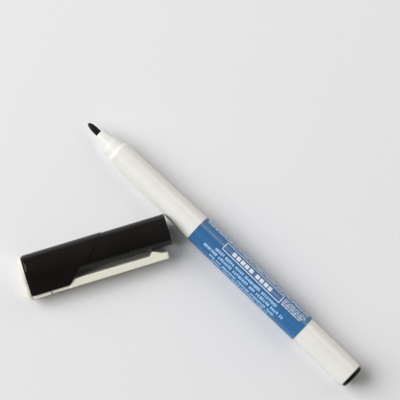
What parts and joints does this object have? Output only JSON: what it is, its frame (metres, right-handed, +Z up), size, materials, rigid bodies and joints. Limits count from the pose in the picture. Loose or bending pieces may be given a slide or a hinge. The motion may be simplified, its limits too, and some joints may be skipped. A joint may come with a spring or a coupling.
{
  "type": "felt-tip marking pen",
  "caption": "Slim felt-tip marking pen with a printed label sleeve and its clip cap lying off beside it, fibre nib and ink core inside.",
  "frame": {"origin": "centre of the label sleeve, on the pen's axis", "axes": "+X along the pen from the nib to the end plug, +Z up from the surface that the pen and its cap lie on"},
  "size_m": [0.132, 0.0656, 0.0119],
  "materials": {
    "barrel_white": "glossy white polypropylene with faint moulding marks",
    "nose_white": "satin white polypropylene",
    "nib_fibre": "compressed fibre soaked in dark blue ink",
    "core_fibre": "bundled polyester fibre soaked in ink",
    "core_film": "thin clear film",
    "label_film": "blue film with a soft gloss",
    "label_print": "white printing ink",
    "plug_black": "glossy black plastic",
    "cap_black": "glossy black plastic",
    "seal_white": "soft white polyethylene",
    "clip_cream": "satin cream plastic"
  },
  "bodies": {
    "pen": {"barrel": "barrel_white", "nose": "nose_white", "nib": "nib_fibre", "ink_core": "core_fibre", "core_wrap": "core_film", "label_sleeve": "label_film", "end_plug": "plug_black"},
    "cap": {"cap_shell": "cap_black", "inner_cap": "seal_white", "clip_base": "clip_cream"},
    "clip": {"clip_arm": "clip_cream"}
  },
  "joints": [
    {"name": "cap_swing", "type": "hinge", "parent": "pen", "child": "cap", "pos_m": [-0.05846, 0.04979, 0.00075], "axis": [0, 0, 1], "range_deg": [-61, 0]},
    {"name": "clip_flex", "type": "hinge", "parent": "cap", "child": "clip", "pos_m": [-0.04383, -0.04321, -0.00157], "axis": [-0.2411, 0.1336, -0.9613], "range_deg": [0, 5], "stiffness_Nm_per_rad": 0.3}
  ]
}
